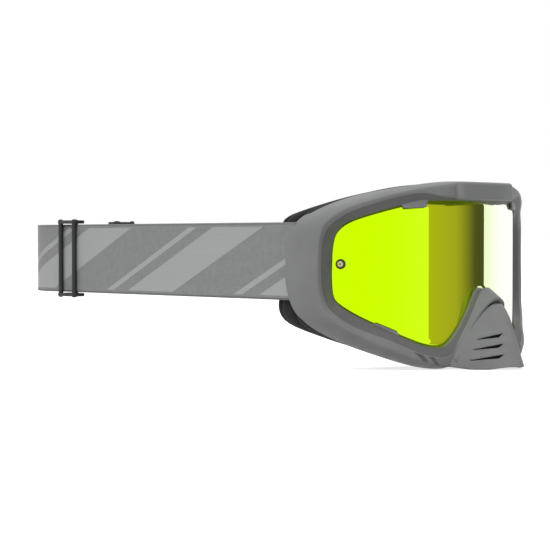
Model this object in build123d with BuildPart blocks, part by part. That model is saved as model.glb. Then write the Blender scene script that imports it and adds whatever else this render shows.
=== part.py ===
from build123d import *
from math import cos, radians, sin, sqrt, tan
import os

# Motocross goggles: a flexible frame with a cylindrical lens, a push-on nose guard,
# layered face foam and an elastic strap with two tri-glide sliders.
# Millimetres. X to the wearer's left, Y towards the back of the head, Z up.
# Sketch coordinates count from the front centre of the lens, which sits at
# datum_y, datum_z in the row frame. The row frame's origin is the middle of the
# assembly's base.

# ---- driving sizes -------------------------------------------------------------
frame_width = 194.0          # across the two temples
brow_height = 33.5           # brow top above the lens datum
chin_drop = 74.4             # chin bottom below the lens datum
brow_depth = 21.0            # rear of the face flange behind the datum, at the nose
temple_depth = 68.0          # rear of the temples behind the datum
crest_y = 38.0               # front crest of the temples behind the datum
brow_proud = 3.0             # frame front ahead of the lens, at the middle
lens_radius = 94.0           # outer face of the cylindrical lens
lens_thickness = 1.2
lens_half_width = 81.0       # visible lens, measured square to the nose axis
lens_edge = 2.0              # lens hidden in the groove
groove_clearance = 0.2
seat_depth = 3.0             # frame left behind the groove
wall = 2.5                   # tunnel wall between the front shell and the flange
flange_thickness = 3.0
foam_overlap = 8.0           # face foam reaches this far inside the lens outline
foam_outside = 3.5           # and this far outside it
firm_foam = 6.0
soft_foam = 8.0
fleece = 1.5
vent_foam = 2.5
strap_width = 44.6
strap_middle = -12.5         # strap centre line above the lens datum
strap_thickness = 1.4
strap_side_x = 91.0          # strap centre where it leaves the ear
strap_side_y = 63.0
strap_lean = 3.4             # inward lean of the side runs, degrees
strap_back_y = 342.0         # centre of the outer layer across the back
corner_radius = 40.0
stretch_split_y = 250.0      # where the rear loop takes over from the side runs
layer_gap = 0.4              # between the two layers of the strap
ear_pin_diameter = 3.0
pin_clearance = 0.05
fold_clearance = 0.1
slider_bar = 3.2             # tri-glide bar diameter
slider_pitch = 7.5           # middle bar to outer bar
slider_gap = 0.3             # bar to passing strap
rail_height = 2.2
rail_clearance = 0.6
left_slider_x = 18.0
right_slider_y = 280.0
slider_room = 11.0           # travel kept free on each side of a slider
ramp_run = 14.0              # from the layer up to the folded end
post_angle = 55.0            # tear-off posts, degrees round the lens
post_height = -14.0
post_diameter = 3.4
post_length = 3.2
post_neck = 3.0              # inside the rubber ring
post_neck_length = 1.0
post_shank = 2.4
post_head = 4.0              # rivet head behind the lens
post_head_length = 0.9
ring_width = 1.2
ring_height = 0.7
bead_length = 33.0           # silicone grip lines inside the back of the strap
bead_middle_x = -18.5
bead_height = 1.6
bead_depth = 0.5
bead_pitch = 12.0
guard_tip = 30.0             # nose guard tip ahead of the datum
guard_half_width = 31.0
guard_wall = 2.0
guard_bottom = -73.2
guard_seam = 0.3
peg_diameter = 3.0
peg_length = 6.0
plate_width = 50.0           # brow plate
plate_thickness = 5.0

# ---- derived sizes ---------------------------------------------------------------
half_width = frame_width / 2
temple_x = half_width - 1.8
bar_radius = slider_bar / 2
bar_offset = strap_thickness * 1.5 + slider_gap + fold_clearance + bar_radius
fold_radius = bar_radius + fold_clearance + strap_thickness / 2
outer_bar_offset = strap_thickness / 2 + slider_gap + bar_radius
layer_pitch = strap_thickness + layer_gap
rear_reach = strap_back_y - layer_pitch + bar_offset + fold_radius + strap_thickness / 2
datum_y = (guard_tip - rear_reach) / 2
datum_z = chin_drop
strap_low = strap_middle - strap_width / 2
reach = 400.0                # longer than any piece, for through cuts
rear_radius = (temple_x**2 + (temple_depth - brow_depth) ** 2) / (2 * (temple_depth - brow_depth))
rear_centre_y = brow_depth + rear_radius
seat_radius = lens_radius - lens_thickness - groove_clearance - seat_depth

plan = Plane((0, datum_y, datum_z))
front = Plane(origin=(0, datum_y, datum_z), x_dir=(1, 0, 0), z_dir=(0, -1, 0))
floor_plan = plan.offset(-reach / 2)

os.makedirs("parts", exist_ok=True)


def lens_y(x):
    """Depth of the lens face at a distance x from the nose axis."""
    return lens_radius - sqrt(lens_radius**2 - x**2)


def save(part, name):
    part.label = name
    export_step(part, f"parts/{name}.step")


def outline(half_points, radius, grow=0.0):
    """Closed front outline from its right half, listed from the top centre down."""
    mirrored = [(-x, z) for x, z in reversed(half_points) if x > 0]
    with BuildSketch(front) as shape:
        with BuildLine():
            FilletPolyline(*half_points, *mirrored, radius=radius, close=True)
        make_face()
        if grow:
            offset(amount=grow)
    return shape.sketch


def annulus(outer_radius, inner_radius, centre_y):
    """Plan band between two circles round one centre on the symmetry plane."""
    with BuildSketch(floor_plan) as band:
        with Locations((0, centre_y)):
            Circle(outer_radius)
            Circle(inner_radius, mode=Mode.SUBTRACT)
    return band.sketch


def curved_ring(band, outer, inner=None):
    """A plan band kept inside one front outline and outside another."""
    with BuildPart() as ring:
        extrude(band, amount=reach)
        extrude(outer, amount=reach, both=True, mode=Mode.INTERSECT)
        if inner:
            extrude(inner, amount=reach, both=True, mode=Mode.SUBTRACT)
    return ring.part


def keep_box(part, x_range, z_range):
    """The share of a part inside an upright window."""
    with BuildPart() as window:
        add(part)
        with BuildSketch(front):
            with Locations((sum(x_range) / 2, sum(z_range) / 2)):
                Rectangle(x_range[1] - x_range[0], z_range[1] - z_range[0])
        extrude(amount=reach, both=True, mode=Mode.INTERSECT)
    return window.part


def ribbon(points, radius, thickness, low=strap_low, height=strap_width):
    """Upright flat strip that follows a path seen from above."""
    with BuildPart() as strip:
        with BuildSketch(plan.offset(low)):
            with BuildLine() as path:
                if radius:
                    FilletPolyline(*points, radius=radius)
                else:
                    Polyline(*points)
            trace(path.line, line_width=thickness)
        extrude(amount=height)
    return strip.part


# ---- front outlines ------------------------------------------------------------
wide = half_width / 97.0
lens_wide = lens_half_width / 81.0
up = brow_height / 33.5
down = chin_drop / 74.4
frame_points = [(24 * wide, 33.5 * up), (44 * wide, 30 * up), (67 * wide, 22 * up), (87 * wide, 12 * up),
                (97 * wide, -3 * up), (97 * wide, -37 * down), (88 * wide, -48 * down),
                (63 * wide, -63.5 * down), (40 * wide, -74.4 * down), (21 * wide, -74.4 * down),
                (0, -36.5 * down)]
lens_points = [(45 * lens_wide, 22 * up), (64 * lens_wide, 16 * up), (78 * lens_wide, 9 * up),
               (81 * lens_wide, -4 * up), (81 * lens_wide, -33 * down), (75 * lens_wide, -41 * down),
               (56 * lens_wide, -54.5 * down), (33 * lens_wide, -62.5 * down),
               (23 * lens_wide, -58 * down), (0, -25.5 * down)]
corner = 5.0
frame_face = outline(frame_points, corner)
frame_back = outline(frame_points, corner, -2.0)
aperture = outline(lens_points, corner)
chamber = outline(lens_points, corner, -1.5)
tunnel = outline(lens_points, corner, -1.5 + wall)
vent_cover = outline(lens_points, corner, -1.5 + wall + vent_foam)
lens_shape = outline(lens_points, corner, lens_edge)
groove_shape = outline(lens_points, corner, lens_edge + groove_clearance)
face_opening = outline(lens_points, corner, -foam_overlap)
foam_shape = outline(lens_points, corner, foam_outside)

# ---- plan of the frame ---------------------------------------------------------
with BuildSketch(floor_plan) as frame_plan:
    with BuildLine():
        crest = (half_width - 2, crest_y)
        shoulder = [(x * wide, lens_y(x * wide) - brow_proud - x * 0.09) for x in (0, 25, 50, 68, 80)]
        half_front = [*shoulder, crest]
        left_front = [(-x, y) for x, y in reversed(half_front[1:])]
        Spline(*left_front, *half_front)
        for side in (-1, 1):
            ThreePointArc((side * crest[0], crest_y), (side * half_width, (crest_y + temple_depth) / 2),
                          (side * temple_x, temple_depth))
        ThreePointArc((-temple_x, temple_depth), (0, brow_depth), (temple_x, temple_depth))
    make_face()

with BuildSketch(floor_plan) as shell_plan:
    add(frame_plan.sketch.moved(floor_plan.location.inverse()))
    with Locations((0, lens_radius)):
        Circle(seat_radius, mode=Mode.SUBTRACT)

with BuildSketch(floor_plan) as flange_plan:
    add(frame_plan.sketch.moved(floor_plan.location.inverse()))
    with Locations((0, rear_centre_y)):
        Circle(rear_radius + flange_thickness, mode=Mode.INTERSECT)

with BuildSketch(floor_plan) as vent_plan:
    for slot_x in (-44, -22, 0, 22, 44):
        with Locations((slot_x, 0)):
            Rectangle(14, reach)
    with Locations((0, lens_radius)):
        Circle(seat_radius - 1.5, mode=Mode.INTERSECT)
    with Locations((0, rear_centre_y)):
        Circle(rear_radius + flange_thickness + 1.5, mode=Mode.SUBTRACT)

# ---- ear pins and tear-off posts: places shared by the holes and the pins ----------
ear_fold = ear_pin_diameter / 2 + fold_clearance + strap_thickness / 2
ear_pin_y = strap_side_y - 5.5
ear_pin_x = strap_side_x + 5.5 * tan(radians(strap_lean)) - ear_fold
pocket_half = ear_fold + strap_thickness / 2 + 0.4
pocket_height = strap_width + 1.6
pin_height = pocket_height + 8.0
peg_places = [(0, -36.5 * down), (26.5 * wide, -69.5 * down), (-26.5 * wide, -69.5 * down)]


def post_plane(side):
    """Plane on the lens face at a post, facing out along the lens radius."""
    angle = radians(post_angle)
    out = Vector(side * sin(angle), -cos(angle), 0)
    foot = Vector(0, lens_radius, post_height) + out * lens_radius
    return Plane(origin=foot + Vector(0, datum_y, datum_z), x_dir=(0, 0, 1), z_dir=out)


# ---- frame -----------------------------------------------------------------------
with BuildPart() as frame:
    add(curved_ring(shell_plan.sketch, frame_face, aperture))
    add(curved_ring(frame_plan.sketch, tunnel, chamber))
    add(curved_ring(flange_plan.sketch, frame_back, face_opening))
    # groove that holds the lens edge
    groove_band = annulus(lens_radius + groove_clearance,
                          lens_radius - lens_thickness - groove_clearance, lens_radius)
    add(curved_ring(groove_band, groove_shape), mode=Mode.SUBTRACT)
    # sloping window sides at the temples
    with BuildSketch(plan.offset(-40 * down)):
        for side in (-1, 1):
            with BuildLine():
                Polyline((side * (lens_half_width - 4), 0),
                         (side * (lens_half_width - 4), lens_y(lens_half_width) + 1),
                         (side * (lens_half_width + 0.6), lens_y(lens_half_width)),
                         (side * (half_width - 1.5), crest_y - 0.5), (side * half_width, 0), close=True)
            make_face()
    extrude(amount=40 * down + 8 * up, mode=Mode.SUBTRACT)
    # vent windows in the tunnel wall, above and below the lens
    extrude(vent_plan.sketch.moved(Location((0, 0, reach / 2 + 8))), amount=reach / 2, mode=Mode.SUBTRACT)
    extrude(vent_plan.sketch, amount=reach / 2 - 44 * down, mode=Mode.SUBTRACT)
    # strap pockets and the bores of the ear pins
    with BuildSketch(plan.offset(strap_middle - pocket_height / 2)):
        for side in (-1, 1):
            with Locations((side * ear_pin_x, ear_pin_y + 15 - pocket_half)):
                Rectangle(2 * pocket_half, 30)
    extrude(amount=pocket_height, mode=Mode.SUBTRACT)
    with BuildSketch(plan.offset(strap_middle - pin_height / 2)):
        with Locations((ear_pin_x, ear_pin_y), (-ear_pin_x, ear_pin_y)):
            Circle(ear_pin_diameter / 2 + pin_clearance)
    extrude(amount=pin_height, mode=Mode.SUBTRACT)
    # sockets for the nose guard's pegs
    with BuildSketch(front.offset(brow_proud + 10)):
        with Locations(*peg_places):
            Circle(peg_diameter / 2 + pin_clearance)
    extrude(amount=-(brow_proud + 10 + peg_length), mode=Mode.SUBTRACT)
save(frame.part, "frame")

# ---- brow plate ------------------------------------------------------------------
plate_low = 23.8 * up
plate_high = brow_height - 0.6
with BuildPart() as brow_plate:
    with BuildSketch(front.offset(-10)):
        with Locations((0, (plate_low + plate_high) / 2)):
            RectangleRounded(plate_width, plate_high - plate_low, 2.5)
    extrude(amount=10 + brow_proud + plate_thickness)
    extrude(frame_plan.sketch, amount=reach, mode=Mode.SUBTRACT)
    with BuildSketch(floor_plan):
        with Locations((0, lens_radius)):
            Circle(lens_radius, mode=Mode.ADD)
    extrude(amount=reach, mode=Mode.SUBTRACT)
save(brow_plate.part, "brow_plate")

# ---- lens with its tear-off posts --------------------------------------------------
with BuildPart() as lens:
    extrude(annulus(lens_radius, lens_radius - lens_thickness, lens_radius), amount=reach)
    extrude(lens_shape, amount=-lens_radius, mode=Mode.INTERSECT)
    for side in (-1, 1):
        with BuildSketch(post_plane(side).offset(-5)):
            Circle(post_shank / 2 + pin_clearance)
        extrude(amount=10, mode=Mode.SUBTRACT)
save(lens.part, "lens")

for side, hand in ((1, "left"), (-1, "right")):
    base = post_plane(side)
    with BuildPart() as post:
        with BuildSketch(base.offset(0.02)):
            Circle(post_neck / 2)
        extrude(amount=post_neck_length)
        with BuildSketch(base.offset(post_neck_length)):
            Circle(post_diameter / 2)
        extrude(amount=post_length - post_neck_length)
        with BuildSketch(base.offset(-lens_thickness - 1.0)):
            Circle(post_shank / 2)
        extrude(amount=lens_thickness + 1.1)
        with BuildSketch(base.offset(-lens_thickness - 1.0)):
            Circle(post_head / 2)
        extrude(amount=post_head_length)
    save(post.part, f"tear_off_post_{hand}")
    with BuildPart() as ring:
        with BuildSketch(base.offset(0.12)):
            Circle(post_diameter / 2 + ring_width)
            Circle(post_neck / 2 + pin_clearance, mode=Mode.SUBTRACT)
        extrude(amount=ring_height)
    save(ring.part, f"post_ring_{hand}")

# ---- nose guard --------------------------------------------------------------------
# Sections of the tent: height, half width, tip and root depth.
guard_sections = [(guard_bottom, guard_half_width, -guard_tip, 12.0),
                  (-55 * down, 0.62 * guard_half_width, 5.6 - guard_tip, 12.0),
                  (-38 * down, 0.27 * guard_half_width, 14.0 - guard_tip, 12.0),
                  (-27.5 * down, 0.1 * guard_half_width, 22.0 - guard_tip, 12.0)]


def tent(inset, drop):
    with BuildPart() as solid:
        for height, half, tip, root in guard_sections:
            with BuildSketch(plan.offset(height - drop)):
                with BuildLine():
                    Polyline((inset - half, root), (inset - half, 2), (0, tip + inset * 1.3),
                             (half - inset, 2), (half - inset, root), close=True)
                make_face()
        loft(ruled=True)
    return solid.part


with BuildSketch(floor_plan) as guard_back:
    with BuildLine():
        seam_front = [(x, y - guard_seam) for x, y in [*left_front, *half_front]]
        Spline(*seam_front)
        Polyline(seam_front[-1], (half_width, reach), (-half_width, reach), seam_front[0])
    make_face()

# bosses that carry the pegs, trimmed to the tent
with BuildPart() as bosses:
    with BuildSketch(front):
        with Locations(*peg_places):
            Circle(peg_diameter / 2 + 1.3)
    extrude(amount=guard_tip + 5, both=True)
    add(tent(0, 0), mode=Mode.INTERSECT)

with BuildPart() as nose_guard:
    add(tent(0, 0))
    add(tent(guard_wall, 0.01), mode=Mode.SUBTRACT)
    add(bosses.part)
    extrude(guard_back.sketch, amount=reach, mode=Mode.SUBTRACT)
    with BuildSketch(front.offset(brow_proud + 2.5)):
        with Locations(*peg_places):
            Circle(peg_diameter / 2)
    extrude(amount=-(brow_proud + 2.5 + peg_length - 0.5))
save(nose_guard.part, "nose_guard")

# ---- foams -------------------------------------------------------------------------
with BuildSketch(floor_plan) as vent_band:
    with Locations((0, lens_radius)):
        Circle(seat_radius - 0.05)
    with Locations((0, rear_centre_y)):
        Circle(rear_radius + flange_thickness + 0.05, mode=Mode.SUBTRACT)
vent_ring = curved_ring(vent_band.sketch, vent_cover, tunnel)
save(keep_box(vent_ring, (-56 * wide, 56 * wide), (5, 60)), "top_vent_foam")
save(keep_box(vent_ring, (18 * wide, 58 * wide), (-90, -46 * down)), "bottom_vent_foam_left")
save(keep_box(vent_ring, (-58 * wide, -18 * wide), (-90, -46 * down)), "bottom_vent_foam_right")

foam_front = rear_radius
for name, depth in (("face_foam_firm", firm_foam), ("face_foam_soft", soft_foam), ("face_fleece", fleece)):
    band = annulus(foam_front, foam_front - depth, rear_centre_y)
    with BuildPart() as layer:
        add(curved_ring(band, foam_shape, face_opening))
        with BuildSketch(floor_plan):
            with Locations((0, rear_centre_y + reach / 2)):
                Rectangle(reach, reach)
        extrude(amount=reach, mode=Mode.SUBTRACT)
    save(layer.part, name)
    foam_front -= depth

# ---- strap ---------------------------------------------------------------------------
def side_point(side, y, inward=0.0):
    """Strap centre on a side run, at a depth y, moved inward across the run."""
    x = strap_side_x - (y - strap_side_y) * tan(radians(strap_lean))
    return (side * (x - inward / cos(radians(strap_lean))), y)


for side, hand in ((1, "left"), (-1, "right")):
    with BuildPart() as ear_pin:
        with BuildSketch(plan.offset(strap_middle - pin_height / 2 + 0.2)):
            with Locations((side * ear_pin_x, ear_pin_y)):
                Circle(ear_pin_diameter / 2)
        extrude(amount=pin_height - 0.4)
    save(ear_pin.part, f"ear_pin_{hand}")

    # the end of the webbing folds round the pin and lies against the run
    root_y = strap_side_y + 12
    with BuildPart() as anchor:
        with BuildSketch(plan.offset(strap_low)):
            with BuildLine() as fold:
                outer_start = side_point(side, root_y)
                outer_end = (side * (ear_pin_x + ear_fold), ear_pin_y)
                inner_start = (side * (ear_pin_x - ear_fold), ear_pin_y)
                Line(outer_start, outer_end)
                ThreePointArc(outer_end, (side * ear_pin_x, ear_pin_y - ear_fold), inner_start)
                Line(inner_start, side_point(side, root_y, ear_fold * 2 - 0.4))
            trace(fold.line, line_width=strap_thickness)
        extrude(amount=strap_width)
    save(anchor.part, f"strap_anchor_{hand}")
    save(ribbon([side_point(side, root_y), side_point(side, stretch_split_y)], 0, strap_thickness),
         f"strap_side_{hand}")

inner_y = strap_back_y - layer_pitch            # the layer that slides through the left slider
fold_line = bar_offset + fold_radius            # the layer that passes over the bar

# outer layer: right side run, right corner, across the back to the left slider
right_end_x = left_slider_x - slider_room - ramp_run
save(ribbon([side_point(-1, stretch_split_y), side_point(-1, strap_back_y), (right_end_x, strap_back_y)],
            corner_radius, strap_thickness), "strap_rear_right")
# inner layer: left side run, left corner, across the back and round the right corner
inner_radius = corner_radius - layer_pitch
left_end_y = inner_y - inner_radius * tan(radians(90 - strap_lean) / 2) - 0.3
save(ribbon([side_point(1, stretch_split_y), side_point(1, inner_y), side_point(-1, inner_y, layer_pitch),
             side_point(-1, left_end_y, layer_pitch)],
            inner_radius, strap_thickness), "strap_rear_left")

# Slider frames: the local x runs along the strap, y points to the middle bar's side.
slide_x = Plane(origin=plan.from_local_coords((left_slider_x, inner_y, 0)), x_dir=(1, 0, 0))
right_foot = side_point(-1, right_slider_y)
along_right = Vector(sin(radians(strap_lean)), cos(radians(strap_lean)), 0)
slide_y = Plane(origin=plan.from_local_coords((*right_foot, 0)), x_dir=-along_right, z_dir=(0, 0, 1))


def tri_glide(place):
    """Two end rails joined by a middle bar on one side of the strap and two on the other."""
    rail_top = strap_middle + strap_width / 2 + rail_clearance
    rail_low = strap_low - rail_clearance - rail_height
    depth = bar_offset + outer_bar_offset + slider_bar
    with BuildPart() as slider:
        for height in (rail_low, rail_top):
            with BuildSketch(place.offset(height)):
                with Locations((0, (bar_offset - outer_bar_offset) / 2)):
                    RectangleRounded(2 * slider_pitch + slider_bar + 0.6, depth, 1.5)
            extrude(amount=rail_height)
        with BuildSketch(place.offset(rail_low + 0.5)):
            with Locations((0, bar_offset), (-slider_pitch, -outer_bar_offset),
                           (slider_pitch, -outer_bar_offset)):
                Circle(bar_radius)
        extrude(amount=rail_top - rail_low + rail_height - 1.0)
    return slider.part


save(tri_glide(slide_x), "left_slider")
save(tri_glide(slide_y), "right_slider")


def folded_end(place, direction):
    """Webbing end: comes over the middle bar, folds round it and is sewn to itself."""
    start = -direction * slider_room
    over = bar_offset + fold_radius
    under = bar_offset - fold_radius
    with BuildPart() as fold_part:
        with BuildSketch(place.offset(strap_low)):
            with BuildLine() as fold:
                Line((start, over), (0, over))
                ThreePointArc((0, over), (direction * fold_radius, bar_offset), (0, under))
                Line((0, under), (start * 0.8, under))
            trace(fold.line, line_width=strap_thickness)
        extrude(amount=strap_width)
    return fold_part.part


def ramp(place, direction, end_place):
    """Short stretchy run between the strap's layer and its folded end."""
    start = -direction * slider_room
    with BuildPart() as run:
        with BuildSketch(place.offset(strap_low)):
            with BuildLine() as line:
                Spline(end_place, (start, fold_line), tangents=((direction, 0), (direction, 0)))
            trace(line.line, line_width=strap_thickness)
        extrude(amount=strap_width)
    return run.part


save(folded_end(slide_x, 1), "strap_loop_right")
save(ramp(slide_x, 1, (right_end_x - left_slider_x, layer_pitch)), "strap_ramp_right")
save(folded_end(slide_y, 1), "strap_loop_left")
save(ramp(slide_y, 1, (-(left_end_y - right_slider_y) / cos(radians(strap_lean)), layer_pitch)),
     "strap_ramp_left")

# ---- silicone grip lines inside the back of the strap --------------------------------
with BuildPart() as grip_beads:
    for level in (-bead_pitch, 0, bead_pitch):
        with BuildSketch(plan.offset(strap_middle + level - bead_height / 2)):
            with Locations((bead_middle_x, inner_y - strap_thickness / 2 - bead_depth / 2)):
                Rectangle(bead_length, bead_depth)
        extrude(amount=bead_height)
save(grip_beads.part, "grip_beads")
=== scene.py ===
import bpy
import bmesh
import math
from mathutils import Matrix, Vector


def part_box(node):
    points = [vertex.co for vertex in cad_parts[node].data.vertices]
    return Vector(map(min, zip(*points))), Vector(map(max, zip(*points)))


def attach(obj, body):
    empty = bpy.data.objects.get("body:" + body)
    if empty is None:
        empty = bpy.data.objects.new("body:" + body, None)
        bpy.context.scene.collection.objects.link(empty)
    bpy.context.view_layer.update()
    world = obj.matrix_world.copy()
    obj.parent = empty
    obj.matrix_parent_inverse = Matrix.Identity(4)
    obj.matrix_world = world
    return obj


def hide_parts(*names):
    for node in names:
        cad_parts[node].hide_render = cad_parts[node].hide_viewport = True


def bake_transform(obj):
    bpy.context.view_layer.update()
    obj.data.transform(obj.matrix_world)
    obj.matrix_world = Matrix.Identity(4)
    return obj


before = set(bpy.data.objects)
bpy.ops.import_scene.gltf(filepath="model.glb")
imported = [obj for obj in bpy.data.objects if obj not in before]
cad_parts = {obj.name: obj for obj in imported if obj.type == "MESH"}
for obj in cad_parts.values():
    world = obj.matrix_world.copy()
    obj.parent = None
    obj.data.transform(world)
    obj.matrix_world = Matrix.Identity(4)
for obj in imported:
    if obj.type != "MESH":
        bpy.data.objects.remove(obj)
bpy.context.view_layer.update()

# Off-road goggles. Sizes are in millimetres from the front centre of the lens, the
# datum, with +X to the wearer's left and +Y to the back of the head; at() turns them
# into the frame's metres.
MM = 0.001
LENS_EDGE_ABOVE_DATUM = 24.0
lens_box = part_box("lens")
DATUM = Vector((0, lens_box[0][1], lens_box[1][2] - LENS_EDGE_ABOVE_DATUM * MM))
LENS_RADIUS = 94.0
LENS_THICKNESS = 1.2
LENS_HALF_WIDTH = 82.0       # with the edge that the groove hides
FACE_RADIUS = 119.9          # rear of the face flange, seen from above
FACE_CENTRE_Y = 140.9


def at(x, y, z):
    return DATUM + Vector((x, y, z)) * MM


def lens_y(x):
    return LENS_RADIUS - math.sqrt(max(LENS_RADIUS**2 - x * x, 0.0))


def face_y(x, depth=0.0):
    """Depth of the face flange's rear, or of a foam layer that far behind it."""
    radius = FACE_RADIUS - depth
    return FACE_CENTRE_Y - math.sqrt(max(radius**2 - x * x, 0.0))


# ---------------------------------------------------------------- mesh helpers
def mesh_object(name, points, faces, material, smooth=True):
    mesh = bpy.data.meshes.new(name)
    mesh.from_pydata([tuple(p) for p in points], [], faces)
    mesh.validate()
    obj = bpy.data.objects.new(name, mesh)
    bpy.context.scene.collection.objects.link(obj)
    obj.data.materials.append(material)
    fix = bmesh.new()
    fix.from_mesh(mesh)
    bmesh.ops.recalc_face_normals(fix, faces=fix.faces)
    fix.to_mesh(mesh)
    fix.free()
    for polygon in mesh.polygons:
        polygon.use_smooth = smooth
    return obj


def subdivide(obj, levels):
    modifier = obj.modifiers.new("subdivision", "SUBSURF")
    modifier.levels = levels
    modifier.render_levels = levels
    return obj


def apply_modifiers(obj):
    depsgraph = bpy.context.evaluated_depsgraph_get()
    mesh = bpy.data.meshes.new_from_object(obj.evaluated_get(depsgraph))
    obj.modifiers.clear()
    obj.data = mesh
    return obj


def torus_faces(loops, around):
    """Quads of a closed loop of closed profiles."""
    faces = []
    for i in range(loops):
        j = (i + 1) % loops
        for k in range(around):
            m = (k + 1) % around
            faces.append((i * around + k, j * around + k, j * around + m, i * around + m))
    return faces


def tube_faces(loops, around):
    """Quads of an open run of closed profiles, with its two ends closed."""
    faces = torus_faces(loops, around)[:(loops - 1) * around]
    faces.append(tuple(range(around)))
    faces.append(tuple(reversed(range((loops - 1) * around, loops * around))))
    return faces


def catmull(points, t):
    """Point on a smooth curve through the list, t counted in list steps."""
    last = len(points) - 1
    i = min(int(t), last - 1)
    u = t - i
    a, b, c, d = (points[max(i - 1, 0)], points[i], points[i + 1], points[min(i + 2, last)])
    return [0.5 * (2 * q + (r - p) * u + (2 * p - 5 * q + 4 * r - s) * u * u
                   + (3 * q - p - 3 * r + s) * u**3) for p, q, r, s in zip(a, b, c, d)]


def crease(obj, around, rails, amount):
    """Sharpens the edges that run along the given rails of a swept mesh."""
    layer = obj.data.attributes.new("crease_edge", "FLOAT", "EDGE")
    for edge in obj.data.edges:
        a, b = edge.vertices
        if a % around == b % around and a % around in rails:
            layer.data[edge.index].value = amount


def bevelled(obj, width, segments=3):
    modifier = obj.modifiers.new("bevel", "BEVEL")
    modifier.width = width
    modifier.segments = segments
    modifier.limit_method = "ANGLE"
    modifier.angle_limit = math.radians(30)
    return apply_modifiers(obj)


def prism(name, outline, offset, material, bevel=0.0):
    """Closed solid between an outline of points and the same outline moved by offset."""
    count = len(outline)
    points = list(outline) + [p + offset for p in outline]
    faces = [tuple(range(count)), tuple(reversed(range(count, 2 * count)))]
    faces += [(i, (i + 1) % count, count + (i + 1) % count, count + i) for i in range(count)]
    obj = mesh_object(name, points, faces, material, smooth=False)
    return bevelled(obj, bevel) if bevel else obj


def lathe(name, base, axis, profile, material, segments=32):
    """Turned solid: profile lists (radius, height) in millimetres along the axis."""
    axis = axis.normalized()
    side = axis.orthogonal().normalized()
    other = axis.cross(side)
    points = []
    for radius, height in profile:
        for k in range(segments):
            a = 2 * math.pi * k / segments
            points.append(base + (axis * height + (side * math.cos(a) + other * math.sin(a)) * radius) * MM)
    return mesh_object(name, points, tube_faces(len(profile), segments), material)


def join(name, objects):
    """One object out of several closed ones."""
    target = objects[0]
    merged = bmesh.new()
    for obj in objects:
        merged.from_mesh(obj.data)
    merged.to_mesh(target.data)
    merged.free()
    for obj in objects[1:]:
        bpy.data.objects.remove(obj)
    target.name = name
    return target


# ---------------------------------------------------------------- materials
def new_material(name, color, roughness, metallic=0.0):
    material = bpy.data.materials.new(name)
    material.use_nodes = True
    shader = material.node_tree.nodes["Principled BSDF"]
    shader.inputs["Base Color"].default_value = (*color, 1)
    shader.inputs["Roughness"].default_value = roughness
    shader.inputs["Metallic"].default_value = metallic
    return material, material.node_tree, shader


def node(tree, kind, **values):
    made = tree.nodes.new(kind)
    for key, value in values.items():
        if hasattr(made, key):
            setattr(made, key, value)
        else:
            made.inputs[key.replace("_", " ")].default_value = value
    return made


def noise(tree, scale, detail=4.0):
    coords = node(tree, "ShaderNodeTexCoord")
    texture = node(tree, "ShaderNodeTexNoise", Scale=scale, Detail=detail)
    tree.links.new(coords.outputs["Object"], texture.inputs["Vector"])
    return texture.outputs["Fac"]


def ramp(tree, source, stops):
    colors = node(tree, "ShaderNodeValToRGB")
    tree.links.new(source, colors.inputs["Fac"])
    band = colors.color_ramp
    while len(band.elements) < len(stops):
        band.elements.new(0.5)
    for element, (position, color) in zip(band.elements, stops):
        element.position = position
        element.color = (*color, 1)
    return colors.outputs["Color"]


def bump(tree, shader, source, strength, distance):
    made = node(tree, "ShaderNodeBump", Strength=strength, Distance=distance)
    tree.links.new(source, made.inputs["Height"])
    tree.links.new(made.outputs["Normal"], shader.inputs["Normal"])
    return made


def plastic(name, color, roughness, grain=2600, depth=0.00005, spread=0.06):
    """Moulded plastic: fine grain, slightly uneven colour and sheen."""
    material, tree, shader = new_material(name, color, roughness)
    low = tuple(c * (1 - spread) for c in color)
    high = tuple(c * (1 + spread) for c in color)
    tree.links.new(ramp(tree, noise(tree, 45), [(0.35, low), (0.65, high)]), shader.inputs["Base Color"])
    rough = ramp(tree, noise(tree, 160), [(0.3, (roughness - 0.05,) * 3), (0.7, (roughness + 0.07,) * 3)])
    tree.links.new(rough, shader.inputs["Roughness"])
    bump(tree, shader, noise(tree, grain, 2.0), 0.35, depth)
    return material


def foam(name, color, cell, depth):
    """Open-cell foam: fine walls, with the pits between them darkened as painted shade."""
    material, tree, shader = new_material(name, color, 0.95)
    coords = node(tree, "ShaderNodeTexCoord")
    cells = node(tree, "ShaderNodeTexVoronoi", Scale=cell)
    tree.links.new(coords.outputs["Object"], cells.inputs["Vector"])
    # Cell pits go down to 0.3 of the foam colour: painted shade in the pits.
    dark = tuple(c * 0.3 for c in color)
    shade = ramp(tree, cells.outputs["Distance"], [(0.1, dark), (0.6, color)])
    tree.links.new(shade, shader.inputs["Base Color"])
    shader.inputs["Sheen Weight"].default_value = 0.06
    bump(tree, shader, cells.outputs["Distance"], 0.8, depth)
    return material


FRAME_GREY = (0.185, 0.190, 0.187)
frame_plastic = plastic("frame_plastic", FRAME_GREY, 0.5)
guard_plastic = plastic("guard_plastic", (0.195, 0.200, 0.197), 0.52)
# Darker grey for the frame's inward bevel round the lens: painted shade, since the frame is one plastic.
bevel_painted_shade = plastic("bevel_painted_shade", (0.118, 0.121, 0.119), 0.6)
# Near-black grey for the chin-lobe rib recesses: painted shade, not a colour of the frame.
recess_painted_shade = plastic("recess_painted_shade", (0.085, 0.088, 0.088), 0.6)
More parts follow.
